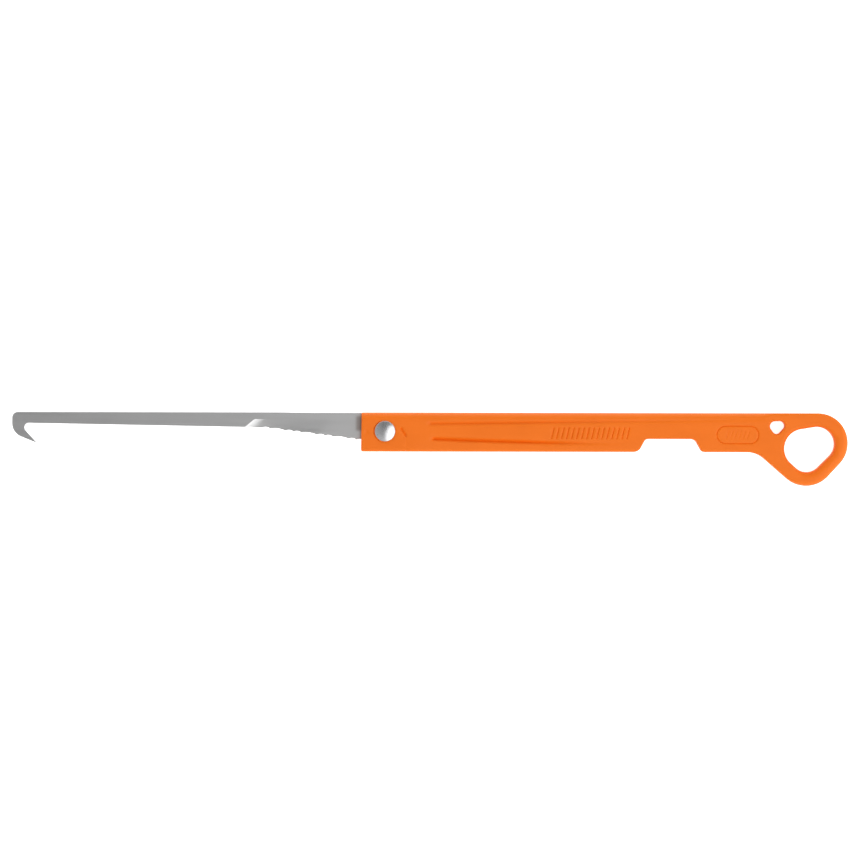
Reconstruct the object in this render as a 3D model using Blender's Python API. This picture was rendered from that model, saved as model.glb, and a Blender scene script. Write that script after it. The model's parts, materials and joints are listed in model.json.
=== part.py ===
"""Folding hook tool with a serrated cord-cutting edge.

The tool lies flat on its side with the blade swung open. X runs along the tool from the hook
to the clip ring, Y runs across it and Z is its thickness. The hook blade turns about an upright
rivet and folds into a slot that is open along the lower edge of the handle.

Every outline is drawn in millimetres from the rivet's axis. The objects are placed so that the
origin is the centre of the whole tool's footprint, on the surface that it lies on.
"""

import math

import bmesh
import bpy
from mathutils import Vector
from mathutils.geometry import convex_hull_2d

MM = 0.001

# Clearances
GAP = 0.2                       # between pieces that are held against each other
RUNNING_CLEARANCE = 0.1         # radial, between the blade's bore and the rivet
STOP_GAP = 0.3                  # between the tang and the floor of the slot

# Handle
HANDLE_THICKNESS = 8.0
HANDLE_LEFT_X = -8.43
HANDLE_TOP_Y = 6.55
HANDLE_BOTTOM_Y = -7.12
HANDLE_LOW_CORNER_RADIUS = 0.7
HANDLE_HIGH_CORNER_RADIUS = 0.4
HANDLE_EDGE_ROUND = 0.6
HANDLE_EDGE_SEGMENTS = 3
SLOT_WIDTH = 3.2
SLOT_FLOOR_Y = 4.7
SLOT_STOP_X = HANDLE_LEFT_X + 0.5   # the open blade's shoulder comes to rest here
SLOT_END_X = 131.6
SLOT_END_RADIUS = 1.5
COUNTERBORE_DEPTH = 0.9
COUNTERBORE_RADIUS = 3.9

# Finger notch in the handle's lower edge
NOTCH_TOP_Y = -2.55
NOTCH_LEFT_FOOT = (88.7, 3.0)       # x and corner radius
NOTCH_LEFT_HEAD = (91.1, 1.7)
NOTCH_RIGHT_HEAD = (108.4, 2.4)
NOTCH_RIGHT_FOOT = (110.85, 1.8)

# Clip ring at the end of the handle
RING_NECK_X = 130.1
RING_NECK_RADIUS = 8.5
RING_LOW_CORNER = (148.2, -22.95)
RING_LOW_RADIUS = 10.3
RING_RIGHT_X = 161.95
RING_RIGHT_CORNER_Y = -8.0
RING_RIGHT_RADIUS = 10.3
RING_HIGH_RADIUS = 10.45
RING_HOLE_CIRCLES = [(151.25, -4.15, 5.95), (147.5, -8.47, 5.55), (146.6, -5.85, 6.9)]
LANYARD_HOLE_CIRCLES = [(136.4, 1.97, 1.75), (138.2, 2.2, 1.6), (137.0, 0.91, 1.61)]

# Blade
BLADE_THICKNESS = 1.8
BLADE_TOP_Y = HANDLE_TOP_Y
BLADE_LEFT_X = -130.6
SPINE_DROP = 0.14               # the spine is this much lower from here on towards the tang
SPINE_DROP_START_X = -42.0
SPINE_DROP_END_X = -26.0
SHANK_ROOT_X = -43.0
SHOULDER_X = SLOT_STOP_X - GAP
SHOULDER_HIGH_RADIUS = 0.15
SHOULDER_LOW_RADIUS = 0.5
HOOK_TIP = (-121.85, -4.35)
HOOK_TIP_RADIUS = 0.12
HOOK_BACK_RADIUS = 2.0
HOOK_HEEL_Y = -0.8
HOOK_HEEL_RADIUS = 5.0
THROAT_CORNER = (-128.36, 2.78)
THROAT_RADIUS = 1.6
TANG_RADIUS = SLOT_FLOOR_Y - STOP_GAP
TANG_FLAT_END_X = -5.2
TANG_FLAT_END_RADIUS = 0.8

# Serrated edge: shallow scallops along a straight line of tooth tips
LONG_SCALLOP = 5.5
SHORT_SCALLOP = 2.75
SCALLOP_DEPTH = 0.42
SCALLOP_GROUPS = 3
SCALLOP_STEPS = 6
TIP_LINE_SLOPE = -0.128
FIRST_TIP_Y = 1.46

# Hollow grind in the front face that thins the serrated edge and runs out towards the tang
GRIND_TOP_Y = 4.2
GRIND_STEP = 0.2                # depth along the grind's upper border
GRIND_SLOPE = 0.1               # further depth for each millimetre towards the edge
GRIND_SKEW = 0.3                # the wheel enters this much further left for each millimetre
GRIND_START_X = -42.7
GRIND_END_X = -15.0
GRIND_END_LIFT = 0.02
GRIND_WHEEL_RADIUS = 30.0
GRIND_WHEEL_ANGLE_DEGREES = 18.0
GRIND_WHEEL_STEPS = 12
GRIND_RUN_OUT_STEPS = 8
GRIND_REACH = 9.0

# Pivot rivet: a barrel with a domed head in front and a stud with a low head behind
HEAD_RADIUS = 3.6
HEAD_RIM_HEIGHT = 0.3
FRONT_HEAD_HEIGHT = 1.0
BACK_HEAD_HEIGHT = 0.6
BARREL_RADIUS = 2.0
BARREL_BORE_RADIUS = 1.2
BARREL_BORE_TOP_Z = 7.7
STUD_RADIUS = BARREL_BORE_RADIUS - GAP

# Friction washers on both sides of the tang
WASHER_THICKNESS = 0.3
WASHER_RADIUS = 3.8

# Fineness of the round shapes
ARC_STEP_DEGREES = 9.0
CIRCLE_STEPS = 48
DOME_STEPS = 5
SAME_POINT = 0.001              # two arcs that meet here share one point
ROUNDED_EDGE_ANGLE_DEGREES = 60.0   # only sharper edges are rounded
SHARP_SHADING_ANGLE_DEGREES = 35.0

BLADE_LOW_Z = (HANDLE_THICKNESS - BLADE_THICKNESS) / 2
BLADE_HIGH_Z = (HANDLE_THICKNESS + BLADE_THICKNESS) / 2
SLOT_LOW_Z = (HANDLE_THICKNESS - SLOT_WIDTH) / 2
SLOT_HIGH_Z = (HANDLE_THICKNESS + SLOT_WIDTH) / 2
BARREL_SHAFT_RADIUS_IN_HANDLE = BARREL_RADIUS + GAP
BARREL_SHAFT_RADIUS_IN_BLADE = BARREL_RADIUS + RUNNING_CLEARANCE
CUTTER_MARGIN = 2.0             # how far a cutter runs past the surfaces that it cuts


def rounded_outline(corners):
    """Polygon through (x, y, radius) corners, each corner replaced by a tangent arc."""
    points = []
    for index, (x, y, radius) in enumerate(corners):
        corner = Vector((x, y))
        if radius == 0:
            points.append(corner)
            continue
        before = Vector(corners[index - 1][:2])
        after = Vector(corners[(index + 1) % len(corners)][:2])
        to_before = (before - corner).normalized()
        to_after = (after - corner).normalized()
        half_angle = to_before.angle(to_after) / 2
        centre = corner + (to_before + to_after).normalized() * radius / math.sin(half_angle)
        start = corner + to_before * radius / math.tan(half_angle) - centre
        turn = math.pi - 2 * half_angle
        if to_before.x * to_after.y - to_before.y * to_after.x > 0:
            turn = -turn
        steps = max(2, math.ceil(abs(math.degrees(turn)) / ARC_STEP_DEGREES))
        for step in range(steps + 1):
            angle = turn * step / steps
            points.append(centre + Vector((
                start.x * math.cos(angle) - start.y * math.sin(angle),
                start.x * math.sin(angle) + start.y * math.cos(angle),
            )))
    return [p for i, p in enumerate(points) if (p - points[i - 1]).length > SAME_POINT]


def hull_of_circles(circles):
    """Outline of a rubber band stretched round (x, y, radius) circles."""
    points = []
    for x, y, radius in circles:
        for step in range(CIRCLE_STEPS):
            angle = 2 * math.pi * step / CIRCLE_STEPS
            points.append(Vector((x + radius * math.cos(angle), y + radius * math.sin(angle))))
    return [points[index] for index in convex_hull_2d(points)]


def handle_outline():
    """Side view of the handle: bar, finger notch and the outside of the clip ring."""
    left_foot_x, left_foot_radius = NOTCH_LEFT_FOOT
    left_head_x, left_head_radius = NOTCH_LEFT_HEAD
    right_head_x, right_head_radius = NOTCH_RIGHT_HEAD
    right_foot_x, right_foot_radius = NOTCH_RIGHT_FOOT
    return rounded_outline([
        (HANDLE_LEFT_X, HANDLE_BOTTOM_Y, HANDLE_LOW_CORNER_RADIUS),
        (left_foot_x, HANDLE_BOTTOM_Y, left_foot_radius),
        (left_head_x, NOTCH_TOP_Y, left_head_radius),
        (right_head_x, NOTCH_TOP_Y, right_head_radius),
        (right_foot_x, HANDLE_BOTTOM_Y, right_foot_radius),
        (RING_NECK_X, HANDLE_BOTTOM_Y, RING_NECK_RADIUS),
        (*RING_LOW_CORNER, RING_LOW_RADIUS),
        (RING_RIGHT_X, RING_RIGHT_CORNER_Y, RING_RIGHT_RADIUS),
        (RING_RIGHT_X, HANDLE_TOP_Y, RING_HIGH_RADIUS),
        (HANDLE_LEFT_X, HANDLE_TOP_Y, HANDLE_HIGH_CORNER_RADIUS),
    ])


def serration_corners():
    """Scallops from the shank towards the tang: a short one, then groups of long, short, short."""
    widths = [SHORT_SCALLOP] + [LONG_SCALLOP, SHORT_SCALLOP, SHORT_SCALLOP] * SCALLOP_GROUPS
    corners = []
    start_x = SHANK_ROOT_X
    for width in widths:
        for step in range(SCALLOP_STEPS):
            along = step / SCALLOP_STEPS
            x = start_x + width * along
            tip_line_y = FIRST_TIP_Y + TIP_LINE_SLOPE * (x - SHANK_ROOT_X)
            corners.append((x, tip_line_y + SCALLOP_DEPTH * 4 * along * (1 - along), 0))
        start_x += width
    corners.append((start_x, FIRST_TIP_Y + TIP_LINE_SLOPE * (start_x - SHANK_ROOT_X), 0))
    return corners


def blade_outline():
    """Side view of the blade: throat, shank, serrated edge, tang, spine and hook."""
    return rounded_outline(
        [(*THROAT_CORNER, THROAT_RADIUS)]
        + serration_corners()
        + [
            (TANG_FLAT_END_X, -TANG_RADIUS, TANG_FLAT_END_RADIUS),
            (TANG_RADIUS, -TANG_RADIUS, TANG_RADIUS),
            (TANG_RADIUS, TANG_RADIUS, TANG_RADIUS),
            (SHOULDER_X, TANG_RADIUS, SHOULDER_LOW_RADIUS),
            (SHOULDER_X, BLADE_TOP_Y - SPINE_DROP, SHOULDER_HIGH_RADIUS),
            (SPINE_DROP_END_X, BLADE_TOP_Y - SPINE_DROP, 0),
            (SPINE_DROP_START_X, BLADE_TOP_Y, 0),
            (BLADE_LEFT_X, BLADE_TOP_Y, HOOK_BACK_RADIUS),
            (BLADE_LEFT_X, HOOK_HEEL_Y, HOOK_HEEL_RADIUS),
            (*HOOK_TIP, HOOK_TIP_RADIUS),
        ]
    )


def footprint_centre():
    """Centre of the open tool's footprint, measured from the rivet's axis."""
    points = handle_outline() + blade_outline()
    middle_x = (min(p.x for p in points) + max(p.x for p in points)) / 2
    middle_y = (min(p.y for p in points) + max(p.y for p in points)) / 2
    return middle_x, middle_y


def make_object(name, bm):
    """Turn a bmesh drawn in millimetres about the rivet's axis into a placed object."""
    bmesh.ops.scale(bm, vec=(MM, MM, MM), verts=bm.verts)
    bmesh.ops.recalc_face_normals(bm, faces=bm.faces)
    if bm.calc_volume(signed=True) < 0:
        bmesh.ops.reverse_faces(bm, faces=bm.faces)
    mesh = bpy.data.meshes.new(name)
    bm.to_mesh(mesh)
    bm.free()
    obj = bpy.data.objects.new(name, mesh)
    bpy.context.scene.collection.objects.link(obj)
    middle_x, middle_y = footprint_centre()
    obj.location = (-middle_x * MM, -middle_y * MM, 0)
    return obj


def prism(name, outline, low_z, high_z):
    """Flat plate with the given outline between two heights."""
    bm = bmesh.new()
    face = bm.faces.new([bm.verts.new((p.x, p.y, low_z)) for p in outline])
    extruded = bmesh.ops.extrude_face_region(bm, geom=[face])
    top = [item for item in extruded["geom"] if isinstance(item, bmesh.types.BMVert)]
    bmesh.ops.translate(bm, vec=(0, 0, high_z - low_z), verts=top)
    return make_object(name, bm)


def turned(name, profile):
    """Round piece spun about the rivet's axis from a (radius, z) profile."""
    bm = bmesh.new()
    verts = [bm.verts.new((radius, 0, z)) for radius, z in profile]
    edges = [bm.edges.new((verts[i], verts[i + 1])) for i in range(len(verts) - 1)]
    bmesh.ops.spin(
        bm, geom=verts + edges, cent=(0, 0, 0), axis=(0, 0, 1),
        angle=2 * math.pi, steps=CIRCLE_STEPS, use_duplicate=False,
    )
    bmesh.ops.remove_doubles(bm, verts=bm.verts, dist=0.0001)
    return make_object(name, bm)


def cylinder(name, radius, low_z, high_z):
    """Plain round cutter on the rivet's axis."""
    return turned(name, [(0, low_z), (radius, low_z), (radius, high_z), (0, high_z)])


def cut(obj, cutter):
    """Subtract a cutter from an object and hide the cutter."""
    modifier = obj.modifiers.new("cut_" + cutter.name, "BOOLEAN")
    modifier.operation = "DIFFERENCE"
    modifier.solver = "EXACT"
    modifier.object = cutter
    cutter.hide_render = True
    cutter.display_type = "WIRE"


def finish(obj, material, smooth=False):
    """Give an object its material, and smooth shading if it is round."""
    obj.data.materials.append(material)
    if smooth:
        obj.data.shade_smooth()
        obj.data.set_sharp_from_angle(angle=math.radians(SHARP_SHADING_ANGLE_DEGREES))


def principled(name, colour, roughness, metallic):
    """Material with one Principled shader."""
    material = bpy.data.materials.new(name)
    material.use_nodes = True
    shader = material.node_tree.nodes["Principled BSDF"]
    shader.inputs["Base Color"].default_value = (*colour, 1.0)
    shader.inputs["Roughness"].default_value = roughness
    shader.inputs["Metallic"].default_value = metallic
    material.diffuse_color = (*colour, 1.0)
    return material


def make_handle():
    """One-piece moulded handle with its slot, finger notch, clip ring and pivot bore."""
    handle = prism("handle_body", handle_outline(), 0, HANDLE_THICKNESS)
    below = -CUTTER_MARGIN
    above = HANDLE_THICKNESS + CUTTER_MARGIN
    cut(handle, prism("clip_hole_cutter", hull_of_circles(RING_HOLE_CIRCLES), below, above))
    cut(handle, prism("lanyard_hole_cutter", hull_of_circles(LANYARD_HOLE_CIRCLES), below, above))

    edges = handle.modifiers.new("rounded_edges", "BEVEL")
    edges.width = HANDLE_EDGE_ROUND * MM
    edges.segments = HANDLE_EDGE_SEGMENTS
    edges.limit_method = "ANGLE"
    edges.angle_limit = math.radians(ROUNDED_EDGE_ANGLE_DEGREES)
    edges.use_clamp_overlap = False

    outside_x = HANDLE_LEFT_X - CUTTER_MARGIN
    below_y = RING_LOW_CORNER[1]
    above_y = HANDLE_TOP_Y + CUTTER_MARGIN
    slot_outline = rounded_outline([
        (outside_x, below_y, 0),
        (SLOT_END_X, below_y, 0),
        (SLOT_END_X, SLOT_FLOOR_Y, SLOT_END_RADIUS),
        (SLOT_STOP_X, SLOT_FLOOR_Y, 0),
        (SLOT_STOP_X, above_y, 0),
        (outside_x, above_y, 0),
    ])
    cut(handle, prism("slot_cutter", slot_outline, SLOT_LOW_Z, SLOT_HIGH_Z))
    cut(handle, cylinder("pivot_bore_cutter", BARREL_SHAFT_RADIUS_IN_HANDLE, below, above))
    cut(handle, cylinder("counterbore_cutter", COUNTERBORE_RADIUS, below, COUNTERBORE_DEPTH))
    finish(handle, principled("orange_nylon", (0.90, 0.19, 0.02), 0.5, 0.0), smooth=True)
    return handle


def grind_stations():
    """(x, share of the full depth, lift) along the grind, from the wheel's entry to its run-out."""
    stations = []
    for step in range(GRIND_WHEEL_STEPS, 0, -1):
        angle = math.radians(GRIND_WHEEL_ANGLE_DEGREES) * step / GRIND_WHEEL_STEPS
        lift = GRIND_WHEEL_RADIUS * (1 - math.cos(angle))
        stations.append((GRIND_START_X - GRIND_WHEEL_RADIUS * math.sin(angle), 1.0, lift))
    for step in range(GRIND_RUN_OUT_STEPS + 1):
        along = step / GRIND_RUN_OUT_STEPS
        x = GRIND_START_X + (GRIND_END_X - GRIND_START_X) * along
        stations.append((x, 1 - along * along * (3 - 2 * along), GRIND_END_LIFT * along))
    return stations


def grind_cutter():
    """Cutter whose underside is the hollow grind: it slopes down towards the edge."""
    roof_z = BLADE_HIGH_Z + CUTTER_MARGIN
    far_y = GRIND_TOP_Y - GRIND_REACH
    bm = bmesh.new()
    loops = []
    for x, share, lift in grind_stations():
        near_z = BLADE_HIGH_Z - share * GRIND_STEP + lift
        far_z = near_z - share * GRIND_SLOPE * GRIND_REACH
        far_x = x - GRIND_SKEW * GRIND_REACH
        loops.append([bm.verts.new(corner) for corner in (
            (x, GRIND_TOP_Y, near_z), (far_x, far_y, far_z),
            (far_x, far_y, roof_z), (x, GRIND_TOP_Y, roof_z),
        )])
    for left, right in zip(loops, loops[1:]):
        for i in range(4):
            bm.faces.new((left[i - 1], left[i], right[i], right[i - 1]))
    bm.faces.new(loops[0])
    bm.faces.new(loops[-1])
    bmesh.ops.triangulate(bm, faces=bm.faces)
    return make_object("grind_cutter", bm)


def make_blade():
    """Stainless hook blade, parented to an empty on the rivet's axis."""
    blade = prism("hook_blade", blade_outline(), BLADE_LOW_Z, BLADE_HIGH_Z)
    cut(blade, grind_cutter())
    cut(blade, cylinder(
        "blade_bore_cutter", BARREL_SHAFT_RADIUS_IN_BLADE,
        BLADE_LOW_Z - CUTTER_MARGIN, BLADE_HIGH_Z + CUTTER_MARGIN,
    ))
    finish(blade, principled("satin_stainless", (0.36, 0.36, 0.36), 0.35, 1.0))

    pivot = bpy.data.objects.new("blade_pivot", None)
    bpy.context.scene.collection.objects.link(pivot)
    pivot.location = blade.location
    blade.parent = pivot
    blade.location = (0, 0, 0)
    return blade


def dome(base_z, rim_height, total_height, direction):
    """Profile of a domed rivet head, from its rim to its middle."""
    rise = total_height - rim_height
    sphere_radius = (HEAD_RADIUS ** 2 + rise ** 2) / (2 * rise)
    rim_angle = math.asin(HEAD_RADIUS / sphere_radius)
    points = []
    for step in range(DOME_STEPS + 1):
        angle = rim_angle * (1 - step / DOME_STEPS)
        height = total_height - sphere_radius * (1 - math.cos(angle))
        points.append((sphere_radius * math.sin(angle), base_z + direction * height))
    return points


def make_rivet():
    """Two-piece pivot rivet: the stud is pressed into the barrel from behind."""
    steel = principled("polished_stainless", (0.55, 0.55, 0.56), 0.12, 1.0)
    front_base = HANDLE_THICKNESS + GAP / 2
    back_base = COUNTERBORE_DEPTH - GAP
    barrel = turned("pivot_barrel", [
        (0, BARREL_BORE_TOP_Z),
        (BARREL_BORE_RADIUS, BARREL_BORE_TOP_Z),
        (BARREL_BORE_RADIUS, COUNTERBORE_DEPTH),
        (BARREL_RADIUS, COUNTERBORE_DEPTH),
        (BARREL_RADIUS, front_base),
        (HEAD_RADIUS, front_base),
        *dome(front_base, HEAD_RIM_HEIGHT, FRONT_HEAD_HEIGHT, 1),
    ])
    stud = turned("pivot_stud", [
        (0, BARREL_BORE_TOP_Z - GAP),
        (STUD_RADIUS, BARREL_BORE_TOP_Z - GAP),
        (STUD_RADIUS, back_base),
        (HEAD_RADIUS, back_base),
        *dome(back_base, HEAD_RIM_HEIGHT, BACK_HEAD_HEIGHT, -1),
    ])
    finish(barrel, steel, smooth=True)
    finish(stud, steel, smooth=True)


def make_washer(name, low_z, material):
    """Thin friction washer round the rivet's barrel."""
    high_z = low_z + WASHER_THICKNESS
    washer = turned(name, [
        (BARREL_SHAFT_RADIUS_IN_HANDLE, low_z),
        (WASHER_RADIUS, low_z),
        (WASHER_RADIUS, high_z),
        (BARREL_SHAFT_RADIUS_IN_HANDLE, high_z),
        (BARREL_SHAFT_RADIUS_IN_HANDLE, low_z),
    ])
    finish(washer, material, smooth=True)


def main():
    for obj in list(bpy.data.objects):
        bpy.data.objects.remove(obj, do_unlink=True)
    make_handle()
    make_blade()
    make_rivet()
    bronze = principled("washer_bronze", (0.45, 0.28, 0.12), 0.4, 1.0)
    make_washer("washer_back", SLOT_LOW_Z + GAP, bronze)
    make_washer("washer_front", SLOT_HIGH_Z - GAP - WASHER_THICKNESS, bronze)


main()
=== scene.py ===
import json
import math

import bmesh
import bpy
import numpy as np
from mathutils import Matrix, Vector
from mathutils.geometry import convex_hull_2d, delaunay_2d_cdt


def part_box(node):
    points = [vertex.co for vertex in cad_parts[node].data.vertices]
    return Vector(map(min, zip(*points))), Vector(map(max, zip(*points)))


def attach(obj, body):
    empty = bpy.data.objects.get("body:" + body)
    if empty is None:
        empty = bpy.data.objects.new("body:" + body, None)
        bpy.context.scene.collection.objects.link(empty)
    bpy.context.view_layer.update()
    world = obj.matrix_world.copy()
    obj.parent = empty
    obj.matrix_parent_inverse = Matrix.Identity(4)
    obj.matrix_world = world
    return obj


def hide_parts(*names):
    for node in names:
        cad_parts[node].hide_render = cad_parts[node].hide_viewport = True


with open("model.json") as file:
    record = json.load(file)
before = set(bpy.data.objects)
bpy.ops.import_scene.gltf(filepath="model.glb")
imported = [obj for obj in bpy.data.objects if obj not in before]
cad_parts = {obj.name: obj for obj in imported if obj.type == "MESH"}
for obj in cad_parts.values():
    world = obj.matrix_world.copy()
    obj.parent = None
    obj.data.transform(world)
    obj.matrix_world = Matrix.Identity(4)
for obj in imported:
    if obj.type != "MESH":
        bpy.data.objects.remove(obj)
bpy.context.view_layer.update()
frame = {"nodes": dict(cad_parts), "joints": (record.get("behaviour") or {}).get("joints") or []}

# Outlines are drawn in millimetres from the rivet's axis; heights are above the surface that
# the tool lies on. The outer sizes come from the frame.
MM = 0.001
PIVOT = Vector(frame["joints"][0]["pos_m"])


def drawn_box(node):
    """Corners of a CAD node's box, in millimetres from the rivet's axis."""
    low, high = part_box(node)
    shift = Vector((PIVOT.x, PIVOT.y, 0))
    return (low - shift) / MM, (high - shift) / MM


handle_low, handle_high = drawn_box("handle_body")
blade_low, blade_high = drawn_box("hook_blade")
barrel_low, barrel_high = drawn_box("pivot_barrel")
stud_low, stud_high = drawn_box("pivot_stud")

LEFT_X = handle_low.x
RIGHT_X = handle_high.x
TOP_Y = handle_high.y
THICKNESS = handle_high.z
HANDLE_HEIGHT = 13.67
BOTTOM_Y = TOP_Y - HANDLE_HEIGHT
HEAD_RADIUS = barrel_high.x
BLADE_LOW_Z = blade_low.z
BLADE_HIGH_Z = blade_high.z
MIDDLE_Z = THICKNESS / 2


# ---------------------------------------------------------------- outlines

def rounded_outline(corners, arc_step=5.0):
    """Closed outline through (x, y, radius) corners, each replaced by a tangent arc."""
    points = []
    for index, (x, y, radius) in enumerate(corners):
        corner = Vector((x, y))
        if radius == 0:
            points.append(corner)
            continue
        to_before = (Vector(corners[index - 1][:2]) - corner).normalized()
        to_after = (Vector(corners[(index + 1) % len(corners)][:2]) - corner).normalized()
        half_angle = to_before.angle(to_after) / 2
        centre = corner + (to_before + to_after).normalized() * radius / math.sin(half_angle)
        start = corner + to_before * radius / math.tan(half_angle) - centre
        turn = math.pi - 2 * half_angle
        if to_before.x * to_after.y - to_before.y * to_after.x > 0:
            turn = -turn
        steps = max(3, math.ceil(abs(math.degrees(turn)) / arc_step))
        for step in range(steps + 1):
            angle = turn * step / steps
            cosine, sine = math.cos(angle), math.sin(angle)
            points.append(centre + Vector((
                start.x * cosine - start.y * sine, start.x * sine + start.y * cosine,
            )))
    kept = [p for i, p in enumerate(points) if (p - points[i - 1]).length > 0.001]
    return np.array([tuple(p) for p in kept])


def hull_of_circles(circles, steps=96):
    """Outline of a rubber band stretched round (x, y, radius) circles, counter-clockwise."""
    points = []
    for x, y, radius in circles:
        for step in range(steps):
            angle = 2 * math.pi * step / steps
            points.append(Vector((x + radius * math.cos(angle), y + radius * math.sin(angle))))
    return np.array([tuple(points[index]) for index in convex_hull_2d(points)])


def subdivided(loop, longest):
    """The closed loop with long segments split evenly."""
    points = []
    for start, end in zip(loop, np.roll(loop, -1, axis=0)):
        pieces = max(1, math.ceil(np.linalg.norm(end - start) / longest))
        for piece in range(pieces):
            points.append(start + (end - start) * piece / pieces)
    return np.array(points)


NOTCH_TOP_Y = -2.55
LEFT_EDGE_LEAN = 0.25
HANDLE_CORNERS = [
    (LEFT_X, BOTTOM_Y, 0.7),
    (88.7, BOTTOM_Y, 3.0),
    (91.1, NOTCH_TOP_Y, 1.7),
    (108.4, NOTCH_TOP_Y, 2.4),
    (110.85, BOTTOM_Y, 1.8),
    (130.1, BOTTOM_Y, 8.5),
    (148.2, -22.93, 10.3),
    (RIGHT_X, -8.0, 10.3),
    (RIGHT_X, TOP_Y, 10.45),
    (LEFT_X + LEFT_EDGE_LEAN, TOP_Y, 0.4),
]
CLIP_HOLE_CIRCLES = [(151.25, -4.15, 5.95), (147.5, -8.47, 5.55), (146.6, -5.85, 6.9)]
LANYARD_HOLE_CIRCLES = [(136.4, 1.97, 1.75), (138.2, 2.2, 1.6), (137.0, 0.91, 1.61)]


# ---------------------------------------------------------------- distances on the plane

def distance_to_path(points, path, closed=False):
    """Distance from each point to the nearest place on a path of straight segments."""
    ends = np.roll(path, -1, axis=0) if closed else path[1:]
    best = np.full(len(points), np.inf)
    for start, end in zip(path, ends):
        along = end - start
        share = np.clip(((points - start) @ along) / (along @ along), 0, 1)
        best = np.minimum(best, np.linalg.norm(points - start - share[:, None] * along, axis=1))
    return best


def inside_loops(points, loops):
    """True where a point is inside an odd number of the closed loops."""
    odd = np.zeros(len(points), bool)
    x, y = points.T
    for loop in loops:
        for (x0, y0), (x1, y1) in zip(loop, np.roll(loop, -1, axis=0)):
            if y0 == y1:
                continue
            crosses = (y0 > y) != (y1 > y)
            odd ^= crosses & (x < (x1 - x0) * (y - y0) / (y1 - y0) + x0)
    return odd


def smooth(low, high, value):
    """0 below low, 1 above high and an even S between them."""
    t = np.clip((value - low) / (high - low), 0, 1)
    return t * t * (3 - 2 * t)


def edge_drop(distance, radius):
    """How far a quarter-round of that radius lies below the face, at a distance from its edge."""
    inwards = np.clip(distance, 0, radius)
    return radius - np.sqrt(np.maximum(radius ** 2 - (radius - inwards) ** 2, 0))


# ---------------------------------------------------------------- relief of the handle's sides

EDGE_ROUND = 0.45
TOP_ROUND = 2.6
BOTTOM_ROUND = 1.1
RING_ROUND = 2.2
CLIP_HOLE_ROUND = 1.3
LANYARD_HOLE_ROUND = 0.6
RING_CENTRE = (148.6, -6.0)
BAR_END_X = 131.0
RING_START_X = 136.5
BOTTOM_ROUND_FADE = (122.0, 129.0)
RING_ROUND_FADE = (136.0, 144.0)
BANDS_FADE_IN = (10.0, 17.0)
BANDS_FADE_OUT = (88.0, 100.0)

GROOVE_START_X = 15.5
GROOVE_END_X = 91.0
UPPER_GROOVE_DEPTH = 0.65
LOWER_GROOVE_DEPTH = 1.05
GROOVE_HALF_WIDTH = 0.85
BAND_SLOPE = 0.06
UPPER_GROOVE_START_Y = 2.68
UPPER_GROOVE_RISE = 0.0143
LOWER_GROOVE_START_Y = -2.57
LOWER_GROOVE_FALL = 1.56
LOWER_GROOVE_LENGTH = 72.0


def upper_groove_y(x):
    """Height of the upper groove; above it the side falls away towards the top edge."""
    return UPPER_GROOVE_START_Y + UPPER_GROOVE_RISE * (x - GROOVE_START_X)


def lower_groove_y(x):
    """Height of the lower groove, which spreads away from the upper one and levels out."""
    t = np.clip((x - GROOVE_START_X) / LOWER_GROOVE_LENGTH, 0, 1)
    return LOWER_GROOVE_START_Y - LOWER_GROOVE_FALL * t * (2 - t)


def groove_profile(distance, half_width):
    """Rounded V: 1 in the middle of a stroke and 0 at its edges."""
    return 1 - smooth(0, half_width, np.abs(distance))


def base_relief(points, outer, holes):
    """Depth below the flat side that both sides share: rounded edges, bands and long grooves."""
    x, y = points.T
    to_outer = distance_to_path(points, outer, closed=True)
    bar = 1 - smooth(BAR_END_X, RING_START_X, x)

    drop = edge_drop(to_outer, EDGE_ROUND)
    top_radius = EDGE_ROUND + (TOP_ROUND - EDGE_ROUND) * bar
    drop = np.maximum(drop, edge_drop(TOP_Y - y, top_radius))
    bottom_radius = BOTTOM_ROUND * (1 - smooth(*BOTTOM_ROUND_FADE, x))
    bottom_drop = edge_drop(y - BOTTOM_Y, np.maximum(bottom_radius, 0.001))
    drop = np.maximum(drop, np.where(bottom_radius > 0.01, bottom_drop, 0))

    angle = np.arctan2(y - RING_CENTRE[1], x - RING_CENTRE[0])
    facing = smooth(-0.1, 0.7, np.cos(angle + math.pi / 4)) * smooth(*RING_ROUND_FADE, x)
    drop = np.maximum(drop, edge_drop(to_outer, EDGE_ROUND + (RING_ROUND - EDGE_ROUND) * facing))
    hole_radius = CLIP_HOLE_ROUND + (RING_ROUND - CLIP_HOLE_ROUND) * facing
    for hole, radius in zip(holes, (hole_radius, LANYARD_HOLE_ROUND)):
        drop = np.maximum(drop, edge_drop(distance_to_path(points, hole, closed=True), radius))

    upper = y - upper_groove_y(x)
    lower = lower_groove_y(x) - y
    bands = smooth(*BANDS_FADE_IN, x) * (1 - smooth(*BANDS_FADE_OUT, x))
    drop = drop + BAND_SLOPE * bands * (np.maximum(upper, 0) + np.maximum(lower, 0))

    upper_fade = smooth(14.6, 16.2, x) * (1 - 0.75 * smooth(40.0, GROOVE_END_X + 40.0, x)) * bar
    lower_fade = smooth(15.8, 17.4, x) * (1 - smooth(45.0, GROOVE_END_X - 3.0, x))
    drop = drop + UPPER_GROOVE_DEPTH * upper_fade * groove_profile(upper, GROOVE_HALF_WIDTH)
    drop = drop + LOWER_GROOVE_DEPTH * lower_fade * groove_profile(lower, GROOVE_HALF_WIDTH)
    return drop


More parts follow.
